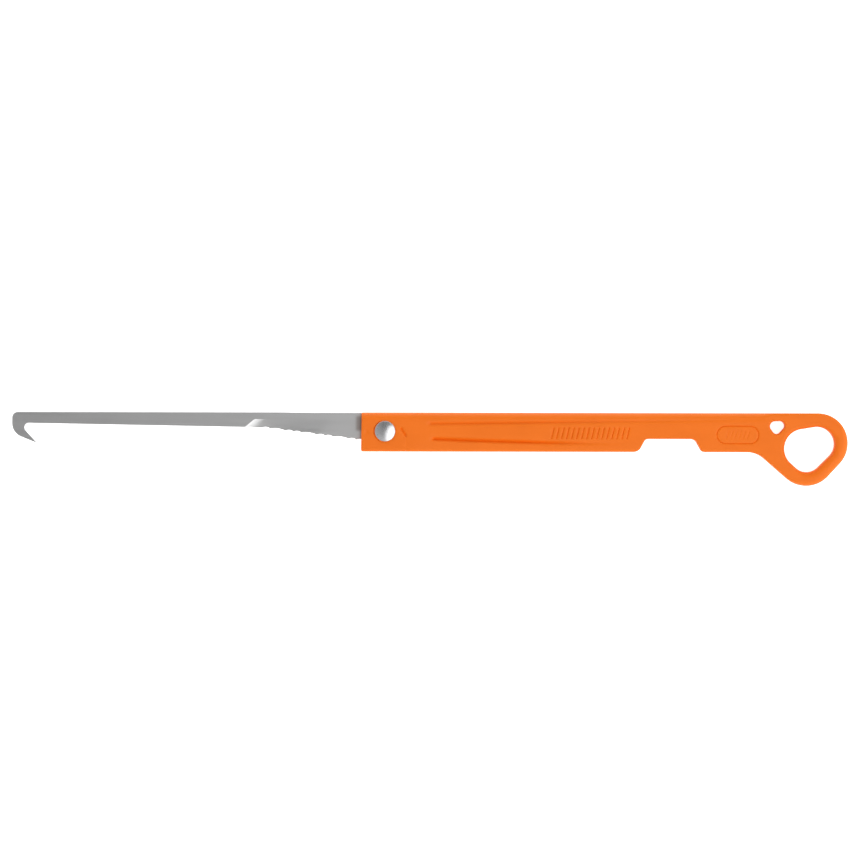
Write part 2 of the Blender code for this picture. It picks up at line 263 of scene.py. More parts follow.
# Strokes cut in the front only
TICK_COUNT = 16
TICK_FIRST_X = 58.2
TICK_LAST_X = 84.6
TICK_LOW_Y = -2.45
TICK_HIGH_Y = 1.3
TICK_LEAN = 0.9
TICK_HALF_WIDTH = 0.26
TICK_DEPTH = 0.3
PAD_CENTRE = (123.4, -1.04)
PAD_LENGTH = 14.6
PAD_HEIGHT = 6.1
PAD_RIB_COUNT = 6
PAD_RIB_SPACING = 1.45
PAD_RIB_HALF_LENGTH = 1.35
PAD_RIB_LEAN = 0.45
PAD_RIB_HALF_WIDTH = 0.2
PAD_RIB_DEPTH = 0.1
PAD_LINE_HALF_WIDTH = 0.26
PAD_LINE_DEPTH = 0.28

# Mould marks beside the rivet: (path, half width, depth)
MOULD_MARKS = [
    (((5.7, 0.95), (7.2, -1.5)), 0.62, 0.55),
    (((7.3, -1.7), (7.35, -5.7)), 0.35, 0.03),
]


def pad_outline():
    """Stadium-shaped thumb pad."""
    radius = PAD_HEIGHT / 2
    reach = PAD_LENGTH / 2 - radius
    x, y = PAD_CENTRE
    return subdivided(hull_of_circles([(x - reach, y, radius), (x + reach, y, radius)], 72), 0.4)


def front_strokes():
    """(path, half width, depth) of the front's grip ticks, thumb pad and mould marks."""
    strokes = []
    for index in range(TICK_COUNT):
        x = TICK_FIRST_X + (TICK_LAST_X - TICK_FIRST_X) * index / (TICK_COUNT - 1)
        path = np.array([(x, TICK_LOW_Y), (x + TICK_LEAN, TICK_HIGH_Y)])
        strokes.append((path, TICK_HALF_WIDTH, TICK_DEPTH))
    outline = pad_outline()
    strokes.append((np.vstack([outline, outline[:1]]), PAD_LINE_HALF_WIDTH, PAD_LINE_DEPTH))
    for index in range(PAD_RIB_COUNT):
        x = PAD_CENTRE[0] + PAD_RIB_SPACING * (index - (PAD_RIB_COUNT - 1) / 2)
        path = np.array([
            (x - PAD_RIB_LEAN, PAD_CENTRE[1] - PAD_RIB_HALF_LENGTH),
            (x + PAD_RIB_LEAN, PAD_CENTRE[1] + PAD_RIB_HALF_LENGTH),
        ])
        strokes.append((path, PAD_RIB_HALF_WIDTH, PAD_RIB_DEPTH))
    for path, half_width, depth in MOULD_MARKS:
        strokes.append((np.array(path), half_width, depth))
    return strokes


def along_path(path, spacing):
    """Points at even spacing along an open path, with the direction there."""
    found = []
    for start, end in zip(path, path[1:]):
        length = np.linalg.norm(end - start)
        direction = (end - start) / length
        steps = max(1, round(length / spacing))
        for step in range(steps + 1):
            found.append((start + (end - start) * step / steps, direction))
    return found


def stroke_points(strokes):
    """Mesh points across and along each stroke, so that its sides are sharp."""
    points = []
    for path, half_width, _ in strokes:
        for point, direction in along_path(path, 0.42):
            across = np.array((-direction[1], direction[0]))
            for share in (-1.15, -0.75, -0.35, 0, 0.35, 0.75, 1.15):
                points.append(point + across * half_width * share)
        for end, sign in ((path[0], -1), (path[-1], 1)):
            direction = path[-1] - path[0]
            length = np.linalg.norm(direction)
            if length > 0:
                points.append(end + sign * direction / length * half_width)
    return np.array(points)


RIVET_GROOVE_RADIUS = HEAD_RADIUS + 0.22
RIVET_GROOVE_HALF_WIDTH = 0.32
RIVET_GROOVE_DEPTH = 0.3
DIMPLE_CENTRE = (-6.55, -0.1)
DIMPLE_SIZE = (0.95, 1.5)
DIMPLE_DEPTH = 0.14


def rivet_surround(points):
    """Sunk ring where the rivet's head was pressed in, deeper on the left, and a gate mark."""
    x, y = points.T
    radius = np.hypot(x, y)
    leftness = 0.1 + 0.9 * smooth(-0.2, 0.9, -x / np.maximum(radius, 0.01))
    ring = groove_profile(radius - RIVET_GROOVE_RADIUS, RIVET_GROOVE_HALF_WIDTH)
    away = np.hypot((x - DIMPLE_CENTRE[0]) / DIMPLE_SIZE[0], (y - DIMPLE_CENTRE[1]) / DIMPLE_SIZE[1])
    return RIVET_GROOVE_DEPTH * leftness * ring + DIMPLE_DEPTH * groove_profile(away, 1.0)


def rivet_surround_points():
    """Mesh points for the sunk ring and the gate mark."""
    points = []
    for radius in (3.6, 3.75, 3.85, 3.95, 4.05, 4.15, 4.3):
        for step in range(72):
            angle = 2 * math.pi * step / 72
            points.append((radius * math.cos(angle), radius * math.sin(angle)))
    for share in (0.2, 0.4, 0.6, 0.8, 1.0):
        for step in range(16):
            angle = 2 * math.pi * step / 16
            points.append((
                DIMPLE_CENTRE[0] + share * DIMPLE_SIZE[0] * math.cos(angle),
                DIMPLE_CENTRE[1] + share * DIMPLE_SIZE[1] * math.sin(angle),
            ))
    return np.array(points)


def stroke_relief(points, strokes):
    """Extra depth from the engraved strokes."""
    drop = np.zeros(len(points))
    for path, half_width, depth in strokes:
        low = path.min(axis=0) - 1
        high = path.max(axis=0) + 1
        near = np.all((points > low) & (points < high), axis=1)
        profile = groove_profile(distance_to_path(points[near], path), half_width)
        drop[near] = np.maximum(drop[near], depth * profile)
    return drop


# ---------------------------------------------------------------- mesh of a moulded side

INSETS = (0.02, 0.06, 0.14, 0.26, 0.42, 0.62, 0.86, 1.14, 1.46, 1.82, 2.2)
OUTLINE_SPACING = 0.7
GRID_X = 0.9
GRID_Y = 0.5


def inset_points(loops):
    """Rows of points that follow the outline inside its rounded edges."""
    points = []
    for loop in loops:
        along = np.roll(loop, -1, axis=0) - np.roll(loop, 1, axis=0)
        along /= np.linalg.norm(along, axis=1)[:, None]
        inwards = np.column_stack((-along[:, 1], along[:, 0]))
        for inset in INSETS:
            row = loop + inwards * inset
            clear = distance_to_path(row, loop, closed=True) > inset * 0.97
            points.append(row[clear])
    return np.vstack(points)


def groove_points():
    """Rows of points along the two long grooves."""
    points = []
    for x in np.arange(GROOVE_START_X - 1.5, BAR_END_X, 0.6):
        for share in (-1.1, -0.7, -0.35, 0, 0.35, 0.7, 1.1):
            points.append((x, upper_groove_y(x) + share * GROOVE_HALF_WIDTH))
            if x < GROOVE_END_X - 2:
                points.append((x, lower_groove_y(x) + share * GROOVE_HALF_WIDTH))
    return np.array(points)


def grid_points():
    """Plain grid over the whole handle."""
    xs = np.arange(LEFT_X + 0.3, RIGHT_X, GRID_X)
    ys = np.arange(-19.0, TOP_Y, GRID_Y)
    grid = np.array([(x, y) for x in xs for y in ys])
    return grid


def thinned(points, spacings):
    """Points in order of importance, each dropped if an earlier one is closer than its spacing."""
    kept = []
    cell = max(spacings)
    cells = {}
    for point, spacing in zip(points, spacings):
        column, row = int(point[0] // cell), int(point[1] // cell)
        close = False
        for i in (column - 1, column, column + 1):
            for j in (row - 1, row, row + 1):
                for other in cells.get((i, j), ()):
                    if (other[0] - point[0]) ** 2 + (other[1] - point[1]) ** 2 < spacing ** 2:
                        close = True
        if not close:
            kept.append(point)
            cells.setdefault((column, row), []).append(point)
    return np.array(kept)


def triangulated_side(loops, strokes):
    """Points and triangles that fill the handle's outline, dense where the side is shaped."""
    boundary = np.vstack(loops)
    groups = [(boundary, 0.0)]
    if strokes:
        groups.append((stroke_points(strokes), 0.07))
        groups.append((rivet_surround_points(), 0.08))
    groups += [(groove_points(), 0.1), (inset_points(loops), 0.015), (grid_points(), 0.33)]
    points = np.vstack([group for group, _ in groups])
    spacings = np.concatenate([np.full(len(group), spacing) for group, spacing in groups])
    free = np.arange(len(points)) >= len(boundary)
    distance = np.full(len(points), np.inf)
    for loop in loops:
        distance = np.minimum(distance, distance_to_path(points, loop, closed=True))
    good = ~free | (inside_loops(points, loops) & (distance > 0.012))
    points = thinned(points[good], spacings[good])

    edges = []
    first = 0
    for loop in loops:
        edges += [(first + i, first + (i + 1) % len(loop)) for i in range(len(loop))]
        first += len(loop)
    result = delaunay_2d_cdt([Vector(p) for p in points], edges, [], 0, 1e-5)
    flat = np.array([tuple(v) for v in result[0]])
    triangles = np.array([tuple(face) for face in result[2]])
    middle = flat[triangles].mean(axis=1)
    return flat, triangles[inside_loops(middle, loops)]


def moulded_plate(name, loops, strokes):
    """Closed mesh of the handle without its slot: two shaped sides joined by walls."""
    count = sum(len(loop) for loop in loops)
    bm = bmesh.new()
    rims = []
    for side, side_strokes in ((1, strokes), (-1, [])):
        flat, triangles = triangulated_side(loops, side_strokes)
        drop = base_relief(flat, loops[0], loops[1:]) + stroke_relief(flat, side_strokes)
        if side_strokes:
            drop = drop + rivet_surround(flat)
        height = MIDDLE_Z + side * (MIDDLE_Z - drop)
        verts = [bm.verts.new((x, y, z)) for (x, y), z in zip(flat, height)]
        for a, b, c in triangles:
            corner = (flat[b] - flat[a], flat[c] - flat[a])
            left_turn = corner[0][0] * corner[1][1] - corner[0][1] * corner[1][0] > 0
            order = (a, b, c) if left_turn == (side > 0) else (a, c, b)
            bm.faces.new([verts[i] for i in order])
        rims.append(verts[:count])
    first = 0
    for loop in loops:
        for i in range(len(loop)):
            a = first + i
            b = first + (i + 1) % len(loop)
            bm.faces.new((rims[0][b], rims[0][a], rims[1][a], rims[1][b]))
        first += len(loop)
    return placed_mesh(name, bm)


# ---------------------------------------------------------------- objects

def placed_mesh(name, bm):
    """Object from a bmesh drawn in millimetres about the rivet's axis."""
    for vert in bm.verts:
        vert.co = Vector((vert.co.x * MM + PIVOT.x, vert.co.y * MM + PIVOT.y, vert.co.z * MM))
    bmesh.ops.recalc_face_normals(bm, faces=bm.faces)
    if bm.calc_volume(signed=True) < 0:
        bmesh.ops.reverse_faces(bm, faces=bm.faces)
    mesh = bpy.data.meshes.new(name)
    bm.to_mesh(mesh)
    bm.free()
    obj = bpy.data.objects.new(name, mesh)
    bpy.context.scene.collection.objects.link(obj)
    return obj


def prism(name, outline, low_z, high_z, slide=(0, 0)):
    """Plate with the given outline between two heights; slide shifts its upper face."""
    bm = bmesh.new()
    face = bm.faces.new([bm.verts.new((x, y, low_z)) for x, y in outline])
    extruded = bmesh.ops.extrude_face_region(bm, geom=[face])
    top = [item for item in extruded["geom"] if isinstance(item, bmesh.types.BMVert)]
    bmesh.ops.translate(bm, vec=(*slide, high_z - low_z), verts=top)
    return placed_mesh(name, bm)


def turned(name, profile, steps=96):
    """Round piece spun about the rivet's axis from a (radius, z) profile."""
    bm = bmesh.new()
    verts = [bm.verts.new((radius, 0, z)) for radius, z in profile]
    edges = [bm.edges.new((verts[i], verts[i + 1])) for i in range(len(verts) - 1)]
    bmesh.ops.spin(
        bm, geom=verts + edges, cent=(0, 0, 0), axis=(0, 0, 1),
        angle=2 * math.pi, steps=steps, use_duplicate=False,
    )
    bmesh.ops.remove_doubles(bm, verts=bm.verts, dist=0.0001)
    return placed_mesh(name, bm)


def cut(obj, cutters):
    """Subtract the cutters for good and delete them."""
    for cutter in cutters:
        modifier = obj.modifiers.new("cut", "BOOLEAN")
        modifier.operation = "DIFFERENCE"
        modifier.solver = "EXACT"
        modifier.object = cutter
    settle(obj)
    for cutter in cutters:
        bpy.data.objects.remove(cutter, do_unlink=True)


def settle(obj):
    """Turn the object's modifiers into plain mesh."""
    evaluated = obj.evaluated_get(bpy.context.evaluated_depsgraph_get())
    mesh = bpy.data.meshes.new_from_object(evaluated)
    mesh.name = obj.name
    obj.modifiers.clear()
    obj.data = mesh


def flatten_faces(obj, normals, tolerance=0.3):
    """Flat shading for the faces that lie in one of the given planes."""
    limit = math.cos(math.radians(tolerance))
    for polygon in obj.data.polygons:
        polygon.use_smooth = all(polygon.normal.dot(n.normalized()) < limit for n in normals)


def shade(obj, material, angle=30):
    """Smooth shading with sharp creases, and one material."""
    obj.data.shade_smooth()
    obj.data.set_sharp_from_angle(angle=math.radians(angle))
    obj.data.materials.clear()
    obj.data.materials.append(material)


# ---------------------------------------------------------------- materials

def material_nodes(name):
    """New node material and helpers to reach its shader."""
    material = bpy.data.materials.new(name)
    material.use_nodes = True
    tree = material.node_tree
    return material, tree, tree.nodes["Principled BSDF"]


def math_node(tree, operation, first, second):
    """Math node; each operand is a number or a socket."""
    node = tree.nodes.new("ShaderNodeMath")
    node.operation = operation
    for socket, value in zip(node.inputs, (first, second)):
        if isinstance(value, (int, float)):
            socket.default_value = value
        else:
            tree.links.new(value, socket)
    return node.outputs["Value"]


def noise(tree, scale, detail, stretch=(1, 1, 1), roughness=0.5):
    """Noise texture in object space; scale is in waves to the metre."""
    coordinates = tree.nodes.new("ShaderNodeTexCoord")
    mapping = tree.nodes.new("ShaderNodeMapping")
    mapping.inputs["Scale"].default_value = stretch
    texture = tree.nodes.new("ShaderNodeTexNoise")
    texture.inputs["Scale"].default_value = scale
    texture.inputs["Detail"].default_value = detail
    texture.inputs["Roughness"].default_value = roughness
    tree.links.new(coordinates.outputs["Object"], mapping.inputs["Vector"])
    tree.links.new(mapping.outputs["Vector"], texture.inputs["Vector"])
    return texture.outputs["Fac"]


def ranged(tree, value, low, high):
    """Map a 0..1 value onto low..high."""
    node = tree.nodes.new("ShaderNodeMapRange")
    node.inputs["From Min"].default_value = 0.25
    node.inputs["From Max"].default_value = 0.75
    node.inputs["To Min"].default_value = low
    node.inputs["To Max"].default_value = high
    tree.links.new(value, node.inputs["Value"])
    return node.outputs["Result"]


def blended(tree, value, first, second):
    """Mix two colours by a value; each colour is a tuple or a socket."""
    node = tree.nodes.new("ShaderNodeMix")
    node.data_type = "RGBA"
    for name, colour in (("A", first), ("B", second)):
        if isinstance(colour, tuple):
            node.inputs[name].default_value = (*colour, 1)
        else:
            tree.links.new(colour, node.inputs[name])
    tree.links.new(value, node.inputs["Factor"])
    return node.outputs["Result"]


def bumped(tree, shader, height, distance, strength=1.0):
    """Bump from a height value; distance is in metres."""
    node = tree.nodes.new("ShaderNodeBump")
    node.inputs["Distance"].default_value = distance
    node.inputs["Strength"].default_value = strength
    tree.links.new(height, node.inputs["Height"])
    tree.links.new(node.outputs["Normal"], shader.inputs["Normal"])


def ramp_along(tree, axis, start, end):
    """Even S from 0 to 1 between two places on an axis, in millimetres from the rivet's axis."""
    shift = {"X": PIVOT.x, "Y": PIVOT.y, "Z": 0}[axis]
    coordinates = tree.nodes.new("ShaderNodeTexCoord")
    split = tree.nodes.new("ShaderNodeSeparateXYZ")
    ramp = tree.nodes.new("ShaderNodeMapRange")
    ramp.interpolation_type = "SMOOTHSTEP"
    ramp.inputs["From Min"].default_value = start * MM + shift
    ramp.inputs["From Max"].default_value = end * MM + shift
    tree.links.new(coordinates.outputs["Object"], split.inputs["Vector"])
    tree.links.new(split.outputs[axis], ramp.inputs["Value"])
    return ramp.outputs["Result"]


def box_mask(tree, low, high, softness):
    """1 inside a box, in millimetres from the rivet's axis, fading to 0 across its borders."""
    mask = 1.0
    for axis, start, end in zip("XYZ", low, high):
        rising = ramp_along(tree, axis, start - softness, start + softness)
        falling = ramp_along(tree, axis, end + softness, end - softness)
        mask = math_node(tree, "MULTIPLY", math_node(tree, "MULTIPLY", rising, mask), falling)
    return mask


ORANGE_DARK = (0.86, 0.166, 0.003)
ORANGE_LIGHT = (0.91, 0.18, 0.005)


def orange_nylon():
    """Matte moulded nylon with a fine spark-eroded grain and faint flow clouds."""
    material, tree, shader = material_nodes("orange_nylon")
    clouds = noise(tree, 90, 3, stretch=(1, 2.5, 1))
    colour = blended(tree, ranged(tree, clouds, 0, 1), ORANGE_DARK, ORANGE_LIGHT)
    tree.links.new(colour, shader.inputs["Base Color"])
    grain = noise(tree, 4200, 2)
    tree.links.new(ranged(tree, grain, 0.44, 0.56), shader.inputs["Roughness"])
    bumped(tree, shader, grain, 0.00002, 0.5)
    shader.inputs["Specular IOR Level"].default_value = 0.27
    return material


# Painted shadow: a box beside the handle's end where the blade's colour is darkened, standing in for
# the shade the handle casts on the blade.
PAINTED_HANDLE_SHADOW_BOX = ((-10.2, 0.2, MIDDLE_Z), (0, 5.3, THICKNESS))
PAINTED_HANDLE_SHADOW_SOFTNESS = 0.75
PAINTED_HANDLE_SHADOW_COLOUR = (0.34, 0.31, 0.295)
STEEL_DARK = (0.462, 0.462, 0.462)
STEEL_LIGHT = (0.502, 0.502, 0.502)
# Painted sheen: the lighter steel colour that the blade reaches at the handle end.
STEEL_PAINTED_SHEEN_AT_HANDLE = (0.535, 0.535, 0.535)


def satin_steel():
    """Rolled stainless sheet, brushed lengthwise, with painted light that lightens it towards the
    handle and a painted shadow beside the handle's end.
    """
    material, tree, shader = material_nodes("satin_stainless")
    shader.inputs["Metallic"].default_value = 1.0
    streaks = noise(tree, 2600, 3, stretch=(0.02, 1, 1))
    haze = noise(tree, 60, 3)
    hazy = blended(tree, ranged(tree, haze, 0, 1), STEEL_DARK, STEEL_LIGHT)
    # Painted light: the steel's colour gets lighter from the hook towards the handle, standing in
    # for the softbox's reflection that brightens that end.
    painted_sheen_ramp = ramp_along(tree, "X", blade_low.x, 0)
    shank = blended(tree, painted_sheen_ramp, hazy, STEEL_PAINTED_SHEEN_AT_HANDLE)
    # Painted shadow of the handle's end, mixed into the steel's colour.
    painted_handle_shadow = box_mask(tree, *PAINTED_HANDLE_SHADOW_BOX, PAINTED_HANDLE_SHADOW_SOFTNESS)
    tree.links.new(blended(tree, painted_handle_shadow, shank, PAINTED_HANDLE_SHADOW_COLOUR), shader.inputs["Base Color"])
    tree.links.new(ranged(tree, streaks, 0.3, 0.38), shader.inputs["Roughness"])
    bumped(tree, shader, streaks, 0.000002, 0.3)
    return material


def polished_steel():
    """Polished rivet steel with a few hairline marks."""
    material, tree, shader = material_nodes("polished_stainless")
    shader.inputs["Metallic"].default_value = 1.0
    marks = noise(tree, 1500, 4, stretch=(1, 0.15, 1))
    colour = blended(tree, ranged(tree, marks, 0, 1), (0.53, 0.53, 0.54), (0.57, 0.57, 0.58))
    tree.links.new(colour, shader.inputs["Base Color"])
    tree.links.new(ranged(tree, marks, 0.25, 0.31), shader.inputs["Roughness"])
    return material


def washer_bronze():
    """Dull phosphor bronze."""
    material, tree, shader = material_nodes("phosphor_bronze")
    shader.inputs["Metallic"].default_value = 1.0
    patina = noise(tree, 700, 4)
    colour = blended(tree, ranged(tree, patina, 0, 1), (0.5, 0.32, 0.14), (0.62, 0.42, 0.2))
    tree.links.new(colour, shader.inputs["Base Color"])
    tree.links.new(ranged(tree, patina, 0.35, 0.5), shader.inputs["Roughness"])
    return material


# ---------------------------------------------------------------- handle

SLOT_WIDTH = 3.2
SLOT_FLOOR_Y = 4.7
SLOT_END_X = 131.6
SLOT_END_RADIUS = 1.5
SLOT_OPEN_Y = -25.0
STOP_X = LEFT_X + 0.5
BORE_RADIUS = 2.2
COUNTERBORE_RADIUS = 3.9
COUNTERBORE_DEPTH = 0.9


def make_handle(material):
    """Moulded handle with its slot and pivot bore."""
    outer = subdivided(rounded_outline(HANDLE_CORNERS), OUTLINE_SPACING)
    holes = [
        subdivided(hull_of_circles(circles), OUTLINE_SPACING)[::-1]
        for circles in (CLIP_HOLE_CIRCLES, LANYARD_HOLE_CIRCLES)
    ]
    handle = moulded_plate("handle_moulding", [outer, *holes], front_strokes())
    slot = rounded_outline([
        (LEFT_X - 3, SLOT_OPEN_Y, 0),
        (SLOT_END_X, SLOT_OPEN_Y, 0),
        (SLOT_END_X, SLOT_FLOOR_Y, SLOT_END_RADIUS),
        (STOP_X, SLOT_FLOOR_Y, 0),
        (STOP_X, TOP_Y + 3, 0),
        (LEFT_X - 3, TOP_Y + 3, 0),
    ])
    half_slot = SLOT_WIDTH / 2
    cut(handle, [
        prism("slot_cutter", slot, MIDDLE_Z - half_slot, MIDDLE_Z + half_slot),
        turned("bore_cutter", [(0, -1), (BORE_RADIUS, -1), (BORE_RADIUS, 10), (0, 10)]),
        turned("counterbore_cutter", [
            (0, -1), (COUNTERBORE_RADIUS, -1), (COUNTERBORE_RADIUS, COUNTERBORE_DEPTH),
            (0, COUNTERBORE_DEPTH),
        ]),
    ])
    shade(handle, material, 32)
    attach(handle, "handle")
    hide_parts("handle_body")
    return handle


# ---------------------------------------------------------------- blade

SHOULDER_X = LEFT_X + 0.3
EDGE_START_X = -43.0
FIRST_TIP_Y = 1.33
TIP_LINE_SLOPE = -0.128
LONG_SCALLOP = 5.5
SHORT_SCALLOP = 2.75
SCALLOP_DEPTH = 0.42
TIP_ALLOWANCE = 0.1
SCALLOP_GROUPS = 3
SCALLOP_SLANT = 0.9
GRIND_TOP_Y = 4.2
GRIND_STEP = 0.3
GRIND_SLOPE = 0.05
GRIND_SKEW = 0.9
GRIND_START_X = -41.8
GRIND_END_X = -15.0
GRIND_END_LIFT = 0.02
GRIND_WHEEL = 26.0
GRIND_WHEEL_ANGLE = 18.0
GRIND_REACH = 9.0
TANG_RADIUS = 4.4
TANG_FLAT_END = (-5.2, -TANG_RADIUS, 0.8)
SPINE_DROP = 0.14
SPINE_DROP_START_X = -36.0
SPINE_DROP_END_X = -26.0
SHOULDER_HIGH_RADIUS = 0.15
SHOULDER_LOW_RADIUS = 0.5
THROAT_CORNER = (-128.36, 2.74, 1.6)
HOOK_TIP = (-121.85, -4.35, 0.12)
HOOK_BACK_RADIUS = 2.0
HOOK_HEEL_Y = -0.8
HOOK_HEEL_RADIUS = 5.0
BROKEN_EDGE = 0.14
BLADE_BORE_RADIUS = 2.1


def tip_line_y(x):
    """Line through the tips of the serrations."""
    return FIRST_TIP_Y + TIP_LINE_SLOPE * (x - EDGE_START_X)


def scallops():
    """(left x, width) of each scallop, from the shank towards the tang."""
    x = EDGE_START_X
    for width in [SHORT_SCALLOP] + [LONG_SCALLOP, SHORT_SCALLOP, SHORT_SCALLOP] * SCALLOP_GROUPS:
        yield x, width
        x += width


def blade_outline():
    """Side view of the blade before its scallops are ground."""
    end_x = EDGE_START_X + SHORT_SCALLOP + SCALLOP_GROUPS * (LONG_SCALLOP + 2 * SHORT_SCALLOP)
    return rounded_outline([
        THROAT_CORNER,
        (EDGE_START_X, tip_line_y(EDGE_START_X) - TIP_ALLOWANCE, 0),
        (end_x, tip_line_y(end_x) - 2 * TIP_ALLOWANCE, 0),
        TANG_FLAT_END,
        (TANG_RADIUS, -TANG_RADIUS, TANG_RADIUS),
        (TANG_RADIUS, TANG_RADIUS, TANG_RADIUS),
        (SHOULDER_X, TANG_RADIUS, SHOULDER_LOW_RADIUS),
        (SHOULDER_X, blade_high.y - SPINE_DROP, SHOULDER_HIGH_RADIUS),
        (SPINE_DROP_END_X, blade_high.y - SPINE_DROP, 0),
        (SPINE_DROP_START_X, blade_high.y, 0),
        (blade_low.x, blade_high.y, HOOK_BACK_RADIUS),
        (blade_low.x, HOOK_HEEL_Y, HOOK_HEEL_RADIUS),
        HOOK_TIP,
    ], arc_step=4.0)


def grind_depth(x, y):
    """Depth of the hollow grind right of its start; it runs out towards the handle."""
    start_x = GRIND_START_X - GRIND_SKEW * (GRIND_TOP_Y - y)
    along = min(max((x - start_x) / (GRIND_END_X - GRIND_START_X), 0), 1)
    share = 1 - along * along * (3 - 2 * along)
    return share * (GRIND_STEP + GRIND_SLOPE * (GRIND_TOP_Y - y)) - GRIND_END_LIFT * along


def grind_cutter():
    """Cutter whose underside is the hollow grind, with the wheel's entry on the left."""
    stations = []
    entry_steps = 36
    for step in range(entry_steps, 0, -1):
        angle = math.radians(GRIND_WHEEL_ANGLE) * step / entry_steps
        stations.append((
            GRIND_START_X - GRIND_WHEEL * math.sin(angle), GRIND_WHEEL * (1 - math.cos(angle)),
        ))
    run_out_steps = 40
    for step in range(run_out_steps + 1):
        stations.append((GRIND_START_X + (GRIND_END_X - GRIND_START_X) * step / run_out_steps, 0))
    roof_z = BLADE_HIGH_Z + 2
    far_y = GRIND_TOP_Y - GRIND_REACH
    bm = bmesh.new()
    loops = []
    for x, lift in stations:
        far_x = x - GRIND_SKEW * GRIND_REACH
        near_z = BLADE_HIGH_Z - grind_depth(x, GRIND_TOP_Y) + lift
        far_z = BLADE_HIGH_Z - grind_depth(far_x, far_y) + lift
        loops.append([bm.verts.new(corner) for corner in (
            (x, GRIND_TOP_Y, near_z), (far_x, far_y, far_z),
            (far_x, far_y, roof_z), (x, GRIND_TOP_Y, roof_z),
        )])
    for left, right in zip(loops, loops[1:]):
        for i in range(4):
            bm.faces.new((left[i - 1], left[i], right[i], right[i - 1]))
    bm.faces.new(loops[0])
    bm.faces.new(loops[-1])
    bmesh.ops.triangulate(bm, faces=bm.faces)
    return placed_mesh("grind_cutter", bm)


def scallop_cutter(left_x, width):
    """Slanted wheel cut: a shallow arc in the front face, deeper towards the back."""
    radius = (width / 2) ** 2 / (2 * SCALLOP_DEPTH) + SCALLOP_DEPTH / 2
    middle_x = left_x + width / 2
    tip_y = tip_line_y(middle_x) - TIP_ALLOWANCE
    front_z = BLADE_HIGH_Z - grind_depth(middle_x, tip_y)
    into_blade = Vector((-TIP_LINE_SLOPE, 1)).normalized()
    centre_x, centre_y = Vector((middle_x, tip_y)) - into_blade * (radius - SCALLOP_DEPTH)
    steps = 96 if width < 4 else 240
    low_z = BLADE_LOW_Z - 1
    high_z = front_z + 2
    angles = [2 * math.pi * step / steps for step in range(steps)]
    low_y = centre_y + (front_z - low_z) * SCALLOP_SLANT
    outline = [
        (centre_x + radius * math.cos(a), low_y + radius * math.sin(a)) for a in angles
    ]
    slide = (0, -(high_z - low_z) * SCALLOP_SLANT)
    return prism("scallop_cutter", outline, low_z, high_z, slide)


def make_blade(material):
    """Hook blade with broken edges, a hollow-ground front and scalloped serrations."""
    blade = prism("blade_plate", blade_outline(), BLADE_LOW_Z, BLADE_HIGH_Z)
    edges = blade.modifiers.new("broken_edges", "BEVEL")
    edges.width = BROKEN_EDGE * MM
    edges.segments = 2
    edges.limit_method = "ANGLE"
    edges.angle_limit = math.radians(50)
    edges.use_clamp_overlap = False
    settle(blade)
    cut(blade, [
        grind_cutter(),
        turned("bore_cutter", [(0, 0), (BLADE_BORE_RADIUS, 0), (BLADE_BORE_RADIUS, 10), (0, 10)]),
        *[scallop_cutter(left_x, width) for left_x, width in scallops()],
    ])
    shade(blade, material, 20)
    flatten_faces(blade, [Vector((0, 0, 1)), Vector((0, 0, -1)), Vector((0, 1, 0))])
    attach(blade, "blade")
    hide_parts("hook_blade")
    return blade


# ---------------------------------------------------------------- rivet and washers

RIM_HEIGHT = 0.3
RIM_FILLET = 0.24
BARREL_RADIUS = 2.0
BARREL_BORE_RADIUS = 1.2
BARREL_BORE_TOP_Z = 7.7
PRESS_GAP = 0.2


def head_profile(base_z, total_height, direction):
    """Rim, fillet and dome of a rivet head, from its underside to its middle."""
    rise = total_height - RIM_HEIGHT
    sphere = (HEAD_RADIUS ** 2 + rise ** 2) / (2 * rise)
    profile = [(HEAD_RADIUS, base_z), (HEAD_RADIUS, base_z + direction * (RIM_HEIGHT - RIM_FILLET))]
    join_angle = math.asin((HEAD_RADIUS - RIM_FILLET) / sphere)
    join_height = total_height - sphere * (1 - math.cos(join_angle))
    for step in range(1, 6):
        angle = math.radians(90 * step / 6)
        blend = RIM_HEIGHT - RIM_FILLET + (join_height - RIM_HEIGHT + RIM_FILLET) * math.sin(angle)
        radius = HEAD_RADIUS - RIM_FILLET * (1 - math.cos(angle))
        profile.append((radius, base_z + direction * blend))
    steps = 20
    for step in range(steps + 1):
        angle = join_angle * (1 - step / steps)
        height = total_height - sphere * (1 - math.cos(angle))
        profile.append((sphere * math.sin(angle), base_z + direction * height))
    return profile


def make_rivet(material):
    """Barrel with a domed head in front, stud with a low head behind."""
    front_base = THICKNESS + 0.1
    back_base = COUNTERBORE_DEPTH - 0.2
    bore = BARREL_BORE_RADIUS
    stud = bore - PRESS_GAP
    front = turned("rivet_front", [
        (0, BARREL_BORE_TOP_Z), (bore, BARREL_BORE_TOP_Z), (bore, COUNTERBORE_DEPTH),
        (BARREL_RADIUS, COUNTERBORE_DEPTH),
        (BARREL_RADIUS, front_base), *head_profile(front_base, barrel_high.z - front_base, 1),
    ])
    back = turned("rivet_back", [
        (0, stud_high.z), (stud, stud_high.z), (stud, back_base),
        *head_profile(back_base, back_base - stud_low.z, -1),
    ])
    for piece, node in ((front, "pivot_barrel"), (back, "pivot_stud")):
        shade(piece, material, 40)
        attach(piece, "handle")
        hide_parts(node)


def finish_washers(material):
    """The CAD washers keep their shape and get their material."""
    for node in ("washer_front", "washer_back"):
        washer = frame["nodes"][node]
        washer.data.materials.clear()
        washer.data.materials.append(material)


# ---------------------------------------------------------------- stage, light and camera

VIEW_DISTANCE = 2.5
VIEW_WIDTH = 0.3011
VIEW_CENTRE = (15.9, 0.29)
VIEW_ROLL = 0.0019
TABLE_RADIUS = 12.0
TABLE_GLOW = 0.9
OVERHEAD_LEVEL = 0.34
OVERHEAD_DARKEST = 0.25
SOFTBOX_SIZE = (2.7, 4.4)
SOFTBOX_PLACE = (1.52, -0.96, 2.4)
SOFTBOX_POWER = 60.0


